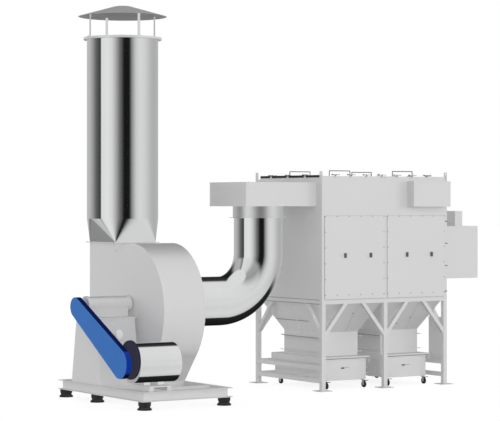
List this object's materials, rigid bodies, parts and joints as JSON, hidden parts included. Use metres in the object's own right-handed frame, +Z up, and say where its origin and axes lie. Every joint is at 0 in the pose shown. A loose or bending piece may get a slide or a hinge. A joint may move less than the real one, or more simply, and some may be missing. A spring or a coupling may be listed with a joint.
{
  "type": "cartridge dust collector",
  "caption": "Cartridge dust collector on a braced frame with hoppers and roll-out dust bins, joined by a polished elbow duct to a belt-driven centrifugal fan with an exhaust stack.",
  "frame": {"origin": "centre of the whole footprint at floor level", "axes": "+X from the fan towards the collector's inlet side, -Y out of the door side, +Z up"},
  "size_m": [8.63, 3.8119, 6.93],
  "materials": {
    "white_paint": "satin powder coat",
    "polished_steel": "polished",
    "blue_paint": "satin",
    "dark_blue_paint": "satin",
    "black_rubber": "matt",
    "black_tyre": "matt",
    "dark_steel": "satin black",
    "plated_steel": "zinc plated"
  },
  "bodies": {
    "collector": {"base_frame": "white_paint", "bearing_housing": "white_paint", "bearing_pedestal": "white_paint", "belt_guard": "blue_paint", "bin_covers": "white_paint", "cable_panel": "white_paint", "cap_stays": "polished_steel", "door_latches": "dark_steel", "door_left": "white_paint", "door_right": "white_paint", "drive_shafts": "plated_steel", "floor_rails": "white_paint", "frame_legs": "white_paint", "front_wall": "white_paint", "hopper_spouts": "white_paint", "hoppers": "white_paint", "inlet_box": "white_paint", "inlet_neck": "white_paint", "inlet_ring": "white_paint", "knee_braces": "white_paint", "left_wall": "white_paint", "lid_clamps": "plated_steel", "lid_handles": "dark_steel", "lifting_lugs": "white_paint", "motor_base": "white_paint", "motor_body": "polished_steel", "motor_disc": "dark_blue_paint", "outlet_flange": "white_paint", "outlet_plenum": "white_paint", "outlet_transition": "polished_steel", "plenum_collar": "polished_steel", "rain_cap": "polished_steel", "rear_wall": "white_paint", "right_wall": "white_paint", "ring_beams": "white_paint", "roof_deck": "white_paint", "roof_lids": "white_paint", "rubber_isolators": "black_rubber", "scroll_drive_side": "white_paint", "scroll_feet": "white_paint", "scroll_inlet_side": "white_paint", "scroll_wrapper": "white_paint", "stack_pipe": "polished_steel", "stack_ring": "white_paint", "suction_elbow": "polished_steel", "valve_box": "white_paint"},
    "bin_left": {"dust_bin_left": "white_paint"},
    "bin_left_castor_left": {"bin_left_castor_left": "plated_steel"},
    "bin_left_wheel_front_left": {"bin_left_wheel_front_left": "black_tyre"},
    "bin_left_wheel_rear_left": {"bin_left_wheel_rear_left": "black_tyre"},
    "bin_left_castor_right": {"bin_left_castor_right": "plated_steel"},
    "bin_left_wheel_front_right": {"bin_left_wheel_front_right": "black_tyre"},
    "bin_left_wheel_rear_right": {"bin_left_wheel_rear_right": "black_tyre"},
    "bin_right": {"dust_bin_right": "white_paint"},
    "bin_right_castor_left": {"bin_right_castor_left": "plated_steel"},
    "bin_right_wheel_front_left": {"bin_right_wheel_front_left": "black_tyre"},
    "bin_right_wheel_rear_left": {"bin_right_wheel_rear_left": "black_tyre"},
    "bin_right_castor_right": {"bin_right_castor_right": "plated_steel"},
    "bin_right_wheel_front_right": {"bin_right_wheel_front_right": "black_tyre"},
    "bin_right_wheel_rear_right": {"bin_right_wheel_rear_right": "black_tyre"}
  },
  "joints": [
    {"name": "bin_left_roll_out", "type": "slide", "parent": "collector", "child": "bin_left", "axis": [0, -1, 0], "range_m": [0, 1.9]},
    {"name": "bin_left_swivel_left", "type": "hinge", "parent": "bin_left", "child": "bin_left_castor_left", "pos_m": [0.615, -0.291, 0.12], "axis": [0, 0, 1], "continuous": true},
    {"name": "bin_left_wheel_front_left_spin", "type": "hinge", "parent": "bin_left_castor_left", "child": "bin_left_wheel_front_left", "pos_m": [0.615, -0.337, 0.06], "axis": [1, 0, 0], "continuous": true},
    {"name": "bin_left_wheel_rear_left_spin", "type": "hinge", "parent": "bin_left", "child": "bin_left_wheel_rear_left", "pos_m": [0.615, 1.149, 0.06], "axis": [1, 0, 0], "continuous": true},
    {"name": "bin_left_swivel_right", "type": "hinge", "parent": "bin_left", "child": "bin_left_castor_right", "pos_m": [1.465, -0.291, 0.12], "axis": [0, 0, 1], "continuous": true},
    {"name": "bin_left_wheel_front_right_spin", "type": "hinge", "parent": "bin_left_castor_right", "child": "bin_left_wheel_front_right", "pos_m": [1.465, -0.337, 0.06], "axis": [1, 0, 0], "continuous": true},
    {"name": "bin_left_wheel_rear_right_spin", "type": "hinge", "parent": "bin_left", "child": "bin_left_wheel_rear_right", "pos_m": [1.465, 1.149, 0.06], "axis": [1, 0, 0], "continuous": true},
    {"name": "bin_right_roll_out", "type": "slide", "parent": "collector", "child": "bin_right", "axis": [0, -1, 0], "range_m": [0, 1.9]},
    {"name": "bin_right_swivel_left", "type": "hinge", "parent": "bin_right", "child": "bin_right_castor_left", "pos_m": [2.005, -0.291, 0.12], "axis": [0, 0, 1], "continuous": true},
    {"name": "bin_right_wheel_front_left_spin", "type": "hinge", "parent": "bin_right_castor_left", "child": "bin_right_wheel_front_left", "pos_m": [2.005, -0.337, 0.06], "axis": [1, 0, 0], "continuous": true},
    {"name": "bin_right_wheel_rear_left_spin", "type": "hinge", "parent": "bin_right", "child": "bin_right_wheel_rear_left", "pos_m": [2.005, 1.149, 0.06], "axis": [1, 0, 0], "continuous": true},
    {"name": "bin_right_swivel_right", "type": "hinge", "parent": "bin_right", "child": "bin_right_castor_right", "pos_m": [2.855, -0.291, 0.12], "axis": [0, 0, 1], "continuous": true},
    {"name": "bin_right_wheel_front_right_spin", "type": "hinge", "parent": "bin_right_castor_right", "child": "bin_right_wheel_front_right", "pos_m": [2.855, -0.337, 0.06], "axis": [1, 0, 0], "continuous": true},
    {"name": "bin_right_wheel_rear_right_spin", "type": "hinge", "parent": "bin_right", "child": "bin_right_wheel_rear_right", "pos_m": [2.855, 1.149, 0.06], "axis": [1, 0, 0], "continuous": true}
  ]
}
